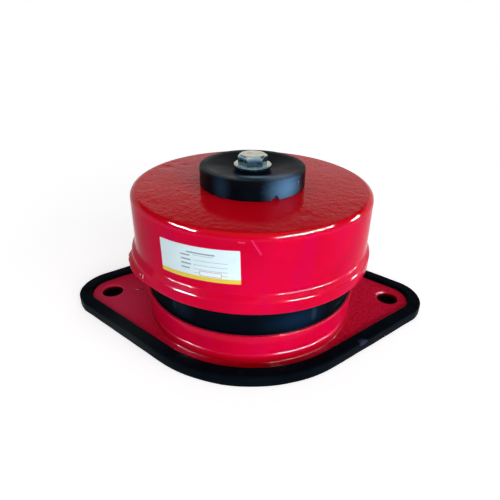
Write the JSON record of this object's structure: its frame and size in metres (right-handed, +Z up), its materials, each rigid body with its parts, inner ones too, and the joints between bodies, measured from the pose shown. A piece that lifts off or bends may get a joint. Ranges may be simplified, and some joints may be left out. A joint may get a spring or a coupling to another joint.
{
  "type": "spring vibration isolator",
  "caption": "Housed spring vibration isolator: a cast cap slides over a rubber sleeve and nested springs on a flanged cast base with a rubber tray and a bolted top pad.",
  "frame": {"origin": "centre of the rubber tray's underside, on the cap's axis", "axes": "+Z up along the cap's travel, X through the two fixing holes, -Y towards the label"},
  "size_m": [0.257, 0.1794, 0.1147],
  "materials": {
    "red_enamel": "gloss",
    "black_rubber": "satin",
    "spring_steel": "satin",
    "zinc_plate": "gloss",
    "label_film": "matte"
  },
  "bodies": {
    "base": {"base_pad": "black_rubber", "base_casting": "red_enamel", "damping_sleeve": "black_rubber", "outer_spring": "spring_steel", "inner_spring": "spring_steel"},
    "cap": {"top_cap": "red_enamel", "top_pad": "black_rubber", "bolt_washer": "zinc_plate", "top_bolt": "zinc_plate"}
  },
  "joints": [
    {"name": "cap_travel", "type": "slide", "parent": "base", "child": "cap", "axis": [0, 0, 1], "range_m": [-0.02, 0], "stiffness_N_per_m": 68000, "deforming": ["outer_spring", "inner_spring"]}
  ]
}
